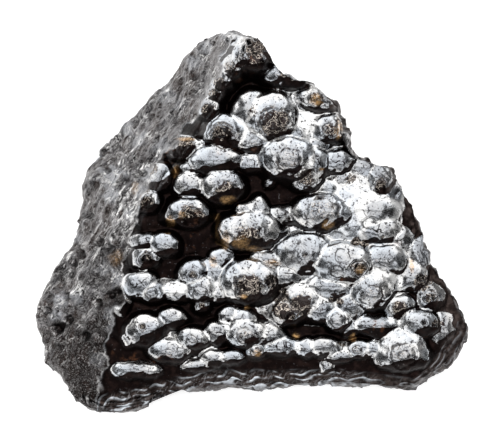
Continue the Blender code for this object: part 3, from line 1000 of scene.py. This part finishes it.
# %% Colours
HIGHLIGHT_STEEL = (0.78, 0.775, 0.765)
STEEL = (0.63, 0.62, 0.605)
BLUE_STEEL = (0.46, 0.49, 0.525)
DULL_STEEL = (0.30, 0.31, 0.33)
SLATE_CROWN_SHADE = (0.20, 0.21, 0.23)
DARK_STEEL = (0.050, 0.048, 0.050)
CREAM_GLINT = (0.60, 0.53, 0.46)
CRACK_BLACK_AND_SHADE = (0.0060, 0.0038, 0.0036)
SHADE_BROWN = (0.0125, 0.0075, 0.0066)
SCAB_BROWN = (0.018, 0.012, 0.010)
LAYER_DARK_AND_SHADOW = (0.014, 0.010, 0.009)
SILVER_HIGHLIGHT = (0.80, 0.79, 0.78)
SMOKE_AND_HIGHLIGHT = (0.185, 0.18, 0.185)
BROKEN_DARK = (0.026, 0.023, 0.024)
BROKEN_BROWN = (0.042, 0.032, 0.029)
RUST = (0.22, 0.09, 0.04)
OCHRE = (0.50, 0.30, 0.13)
print("colours ready")

# %% [markdown]
# ## The marks and the painted shade of the hollows
# A ring mark is a dark line at a fixed way out from its middle, a double one has a second
# line inside, and a crater is dark all over. The floor between the knobs and the steep
# side of each knob are painted near black as painted shade: grain breaks up its border, as
# tiny pits do, and a few grey specks in it are painted glints.

# %% Marks and the painted shade of the hollows
way_from_mark = hematite.mask("way_out")
kind_of_mark = hematite.mask("mark_kind")
mark_dark = hematite.mask("mark_dark")
is_scab = kind_of_mark.between(2.2, 2.8)
is_crater = kind_of_mark.between(1.2, 1.8) - is_scab
is_double = kind_of_mark.between(0.3, 0.8) - is_crater - is_scab
worn = hematite.grain(1.6, 1.0).between(0.38, 0.52)
ring_line = hematite.line(way_from_mark, 1.0, 60.0)
inner_line = hematite.line(way_from_mark, 0.45, 90.0)
marks = ring_line.most(inner_line * is_double * 0.8) * worn * (1 - is_scab)
marks = marks.most(is_crater * (1 - way_from_mark.between(0.6, 0.95)))
cap = 1 - way_from_mark.between(0.9, 1.25)
# where the glints grain is high the steel shows through the scab as painted glints
scab_pattern = (mark_dark + (0.5 - glints) * 1.3).between(0.42, 0.58)

# painted shade: the floor between the knobs and the underside of each knob are painted near black
shade = (1 - hematite.mask("on_knob")).most(hematite.mask("underside"))
shade = shade + (fine - 0.5) * 0.6 + (small - 0.5) * 0.9
hollow_shade = shade.between(0.40, 0.58) * on_crust
painted_shade_colour = hematite.colour_mix(small.between(0.45, 0.68), CRACK_BLACK_AND_SHADE, SHADE_BROWN)
# painted glints: a few smoke grey specks in the painted shade
painted_shade_colour = hematite.colour_mix(glints.between(0.64, 0.70) * 0.5, painted_shade_colour, SMOKE_AND_HIGHLIGHT)
print("marks and hollows ready")

# %% [markdown]
# ## The crust
# The knobs are polished steel, with painted shade on their crowns and a painted highlight
# in the valleys where two knobs flow together. Specks, cracks, scabs and marks go on top,
# and the painted shade of the hollows last.

# %% Crust colour
valley_highlight = hematite.mask("valley")
highlight_patches = hematite.mask("highlight_patches")
crowns = hematite.mask("crown").between(0.10, 0.65)

steel = hematite.colour_mix(sheen, BLUE_STEEL, STEEL)
steel = hematite.colour_mix(0.4 + 0.6 * small.between(0.36, 0.60), DULL_STEEL, steel)
# painted shade: the crowns of the knobs are painted darker
steel = hematite.colour_mix(crowns * 0.6, steel, SLATE_CROWN_SHADE)
# painted highlight: the valleys where knobs flow together, and the listed patches, are painted
# bright steel
steel = hematite.colour_mix((valley_highlight * 0.9).most(highlight_patches * 0.8), steel, HIGHLIGHT_STEEL)

crust_colour = hematite.colour_mix(specks, DARK_STEEL, steel)
for amount, colour in (
        (cracks * crowns, CRACK_BLACK_AND_SHADE),
        (curl_lines * crowns * 0.6, DARK_STEEL),
        (scab_pattern * 0.95, SCAB_BROWN),
        (marks * 0.85, CRACK_BLACK_AND_SHADE),
        # painted glints: cream curly lines inside the dark marks
        (swirl_lines * mark_dark * 0.9, CREAM_GLINT),
        (hollow_shade, painted_shade_colour)):
    crust_colour = hematite.colour_mix(amount, crust_colour, colour)
print("crust colour ready")

# %% [markdown]
# ## The layers and the broken rock
# A layered or fibrous surface catches light on the side that faces it. Comparing a
# pattern with the same pattern a little nearer to the light finds that side. The rim
# shows the edges of its layers, and the broken slope shows its fibres and lumps.

# %% Broken colour
rim = hematite.mask("rim")
layer_shine = hematite.mask("layer_shine")
left_slope = hematite.mask("left_slope")

lamina_number = hematite.mask("lamina")
layer_edge = lamina_number.maths("FRACT", lamina_number).between(0.60, 0.96)
layer_edge = layer_edge * drift.between(0.40, 0.56)
# painted highlight: rim folds that face the light are painted smoke grey, and the pale layer edges
# are painted brighter, both strongest towards the front edge
layer_folds = (lumps - lumps_to_light).between(0.0, 0.08)
layer_colour = hematite.colour_mix(small.between(0.4, 0.6), LAYER_DARK_AND_SHADOW, BROKEN_BROWN)
layer_colour = hematite.colour_mix(layer_folds * layer_shine * 0.6, layer_colour, SMOKE_AND_HIGHLIGHT)
layer_colour = hematite.colour_mix(layer_edge * layer_shine, layer_colour, BLUE_STEEL)
crust_colour = hematite.colour_mix(rim * hollow_shade.most(0.35), crust_colour, layer_colour)

# painted highlight: the sides of the fibres and lumps that face the light are painted silver, most
# where the lit mask is high
fibre_highlight = (fibres - fibres_to_light).between(0.0, 0.08) * drift.between(0.42, 0.54)
fibre_highlight = fibre_highlight.most((lumps - lumps_to_light).between(0.0, 0.07))
fibre_highlight = fibre_highlight * (0.15 + 0.85 * hematite.mask("lit"))
fibre_highlight = fibre_highlight * (0.50 + 0.60 * large.between(0.38, 0.60)) + highlight_patches * fibre_highlight * 0.8
pits = hematite.mask("pits")
slope_shadow = hematite.mask("slope_shadow") * (1 - highlight_patches * 0.8) * (0.7 + 0.3 * large.between(0.35, 0.55))

broken_colour = hematite.colour_mix(large.between(0.45, 0.6), BROKEN_BROWN, BROKEN_DARK)
for amount, colour in (
        (lumps.between(0.42, 0.64) * 0.7, SMOKE_AND_HIGHLIGHT),
        # painted highlight: the listed patches are painted lighter
        (highlight_patches * 0.8, DULL_STEEL),
        (fibre_highlight, SILVER_HIGHLIGHT),
        # painted shadow on the left slope
        (slope_shadow * left_slope, LAYER_DARK_AND_SHADOW),
        # painted glints: fine silver specks
        (grit.between(0.56, 0.62) * 0.2, SILVER_HIGHLIGHT),
        # painted shade: the pits are painted near black, along with the dark specks of the grain
        (pits.most(1 - specks) * 0.9, CRACK_BLACK_AND_SHADE),
        (rim * (1 - left_slope) * 0.85, layer_colour)):
    broken_colour = hematite.colour_mix(amount, broken_colour, colour)
print("broken colour ready")

# %% [markdown]
# ## Putting the finish together
# The masks choose between crust and broken rock, and rust goes over both. The crust is
# glossy and its hollows are duller. The valleys are less metallic, so that they look
# bright from every side. The finest grain is too small to model, so it is a bump.

# %% Hematite
BUMP_HEIGHT = 0.12

ochre = hematite.mask("ochre") * (0.35 + 0.65 * fine.between(0.40, 0.60))
rust_spots = large.between(0.62, 0.74) * small.between(0.52, 0.66) * 0.3
body_colour = hematite.colour_mix(is_broken, crust_colour, broken_colour)
body_colour = hematite.colour_mix(rust_spots, body_colour, RUST)
body_colour = hematite.colour_mix(ochre, body_colour, OCHRE)
hematite.plug(hematite.shader.inputs["Base Color"], body_colour)

crust_rough = 0.21 + 0.2 * (1 - fine.between(0.36, 0.46)) + 0.05 * marks + 0.2 * hollow_shade
broken_rough = 0.28 + 0.2 * small
hematite.plug(hematite.shader.inputs["Roughness"],
              crust_rough * on_crust + broken_rough * is_broken)
hematite.plug(hematite.shader.inputs["Metallic"],
              1 - 0.5 * valley_highlight * (1 - hollow_shade) * on_crust)

relief = (fine * (0.2 + 0.3 * cap) + small * 0.3 + glints * mark_dark * 0.6) * on_crust
relief = relief + (fibres * 2.0 + lumps * 3.6 + fine * 0.8) * is_broken
bump = hematite.add("ShaderNodeBump", None, 0, Height=relief, Strength=0.55,
                    Distance=BUMP_HEIGHT * MM)
hematite.plug(hematite.shader.inputs["Normal"], bump)

stone.data.materials.clear()
stone.data.materials.append(hematite.material)
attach(stone, "root")
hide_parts("hematite_stone")
print("the finish has", len(hematite.tree.nodes), "nodes")

# %% [markdown]
# ## A pale table
# The stone lies on a plain pale table that glows faintly, as a light table does, so that
# the stone throws almost no shadow on it.

# %% Table
TABLE_SIZE = 1.6
TABLE_GAP = 0.0002
TABLE_GLOW = 0.5

bpy.ops.object.select_all(action="DESELECT")
bpy.ops.mesh.primitive_plane_add(size=TABLE_SIZE, location=(0.0, 0.0, -TABLE_GAP))
table = bpy.context.object
table.name = "table"
table_finish = Finish("pale_table")
paper = table_finish.grain(3.0)
table_finish.plug(table_finish.shader.inputs["Base Color"],
                  table_finish.colour_mix(paper, (0.80, 0.80, 0.80), (0.83, 0.83, 0.83)))
table_finish.shader.inputs["Roughness"].default_value = 0.9
table_finish.shader.inputs["Specular IOR Level"].default_value = 0.1
table_finish.shader.inputs["Emission Color"].default_value = (1.0, 1.0, 1.0, 1.0)
table_finish.shader.inputs["Emission Strength"].default_value = TABLE_GLOW
table.data.materials.append(table_finish.material)
print("table ready")

# %% [markdown]
# ## Light
# A stone that shines like metal shows what is around it, so the light is a large soft
# panel above the stone, with a low panel in front, one behind and a dim one on each side.
# Between the panels the room stays dark; that and painted shade draw the steep side of every knob.

# %% Lights
ROOM = (0.01, 0.01, 0.01, 1.0)


def soft_light(name, place, target, width, depth, power):
    """A rectangular soft light that faces a target."""
    lamp = bpy.data.lights.new(name, "AREA")
    lamp.shape, lamp.size, lamp.size_y = "RECTANGLE", width, depth
    lamp.energy = power
    holder = bpy.data.objects.new(name, lamp)
    bpy.context.scene.collection.objects.link(holder)
    holder.location = place
    aim = Vector(target) - Vector(place)
    holder.rotation_euler = aim.to_track_quat("-Z", "Y").to_euler()
    return holder


soft_light("overhead_panel", (-0.15, 0.05, 0.75), (-0.15, 0.05, 0.0), 1.8, 1.5, 17.5)
soft_light("left_panel", (-1.05, 0.1, 0.42), (0.0, 0.0, 0.05), 1.3, 0.8, 0.8)
soft_light("right_panel", (1.05, 0.1, 0.42), (0.0, 0.0, 0.05), 1.3, 0.8, 1.0)
soft_light("front_panel", (0.0, -1.15, 0.6), (0.0, -0.05, 0.0), 1.6, 0.5, 5.0)
soft_light("back_panel", (0.0, 1.15, 0.55), (0.0, 0.0, 0.05), 1.6, 0.8, 3.0)

world = bpy.data.worlds.new("studio")
bpy.context.scene.world = world
world.use_nodes = True
world.node_tree.nodes["Background"].inputs["Color"].default_value = ROOM
world.node_tree.nodes["Background"].inputs["Strength"].default_value = 1.0
print("lights ready")

# %% [markdown]
# ## Camera
# The camera looks steeply down on the stone, with its knobbed face towards it.

# %% Camera
CAMERA_HEIGHT_ANGLE = math.radians(76.0)
CAMERA_DISTANCE = 0.62
SENSOR_WIDTH = 36.0
VIEW_WIDTH = 0.0815
LOOK_AT = Vector((0.0, 0.0005, 0.0185))

lens = bpy.data.cameras.new("camera")
lens.lens = SENSOR_WIDTH * CAMERA_DISTANCE / VIEW_WIDTH
camera = bpy.data.objects.new("camera", lens)
bpy.context.scene.collection.objects.link(camera)
towards_camera = Vector((0.0, -math.cos(CAMERA_HEIGHT_ANGLE), math.sin(CAMERA_HEIGHT_ANGLE)))
camera.location = LOOK_AT + towards_camera * CAMERA_DISTANCE
camera.rotation_euler = (-towards_camera).to_track_quat("-Z", "Y").to_euler()
lens.clip_start, lens.clip_end = 0.01, 10.0
bpy.context.scene.camera = camera
bpy.context.scene.view_settings.view_transform = "Standard"
print("camera ready")
